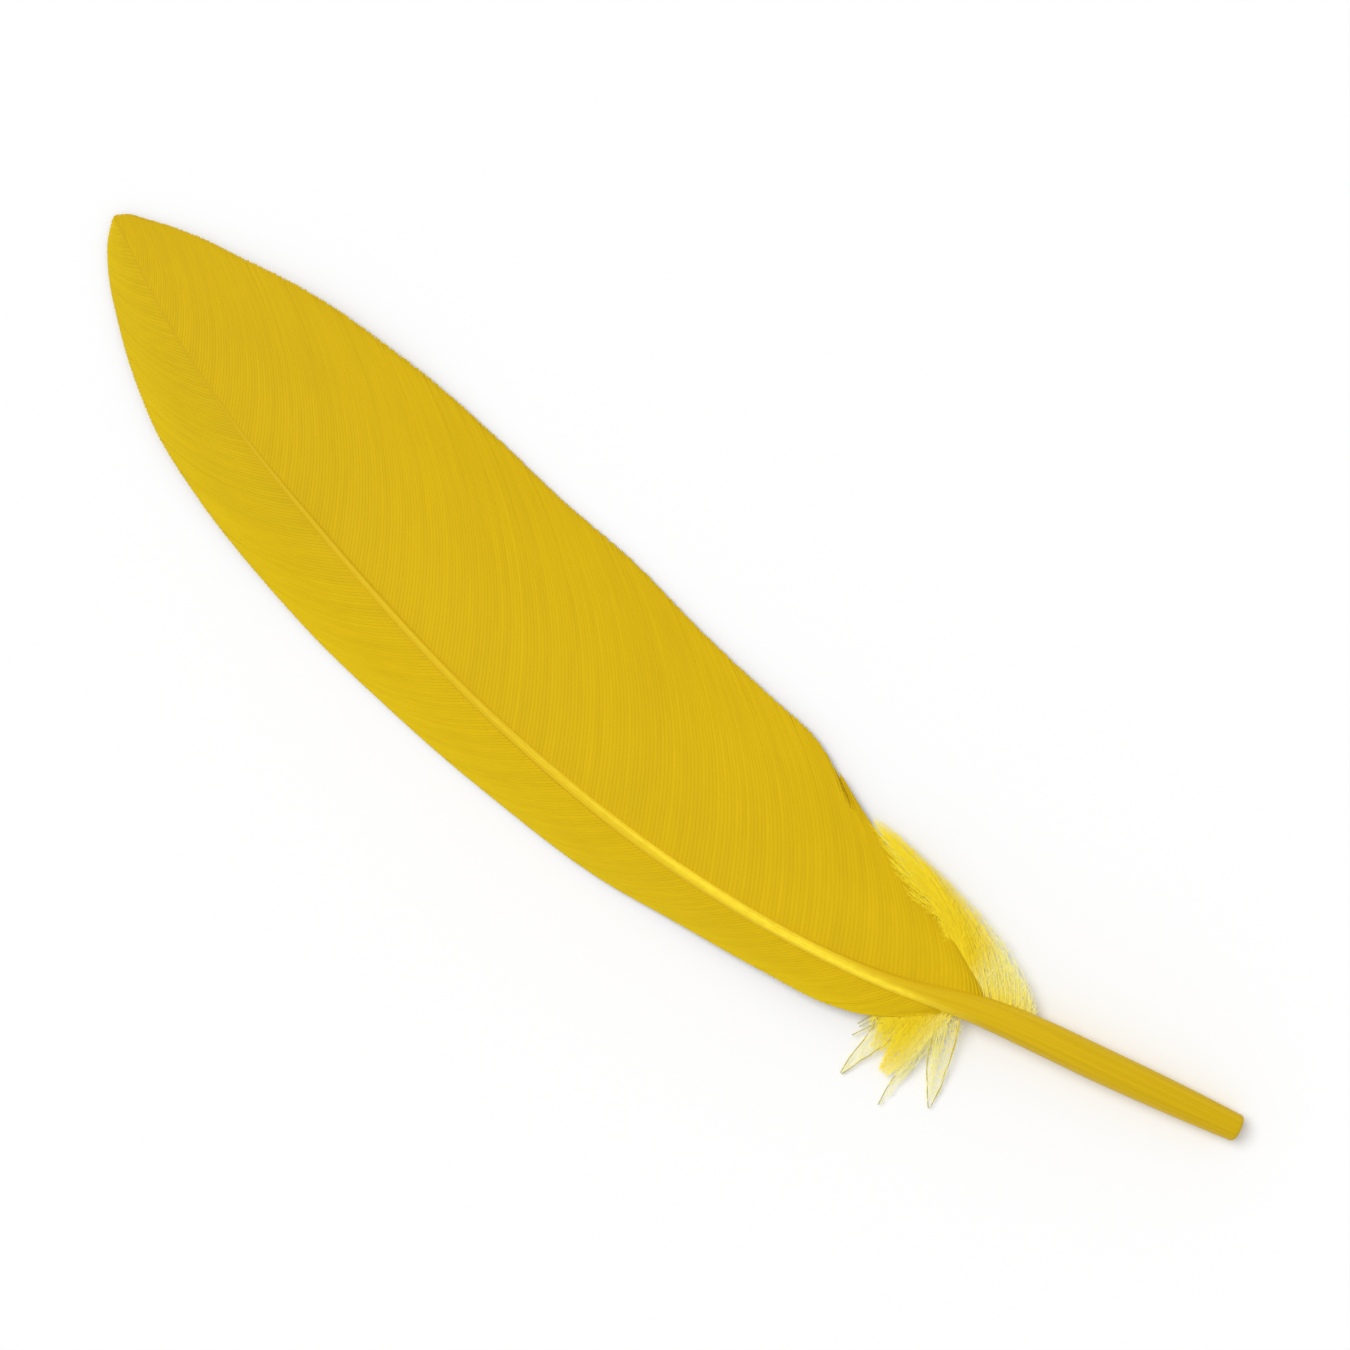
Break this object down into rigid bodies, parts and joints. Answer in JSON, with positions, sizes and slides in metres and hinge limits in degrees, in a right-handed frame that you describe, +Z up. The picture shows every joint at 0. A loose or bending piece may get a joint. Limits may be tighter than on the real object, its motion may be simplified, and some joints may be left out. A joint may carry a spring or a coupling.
{
  "type": "goose quill feather",
  "caption": "Gold-dyed flight feather with a bare round quill, a curved shaft, a narrow leading vane, a wide trailing vane and wisps of down at the base.",
  "frame": {"origin": "the middle of the feather's outline seen from above, on the surface that it lies on", "axes": "+X from the cut end of the quill to the tip of the vane, +Y from the shaft to the narrow leading vane, +Z up from the surface, on the feather's rounded outer side"},
  "size_m": [0.1298, 0.0256, 0.0042],
  "materials": {
    "vane": "satin keratin barbs dyed golden yellow",
    "quill": "smooth satin keratin dyed golden yellow",
    "down": "soft downy hairs dyed pale yellow"
  },
  "bodies": {
    "root": {"feather": "vane"}
  },
  "joints": []
}
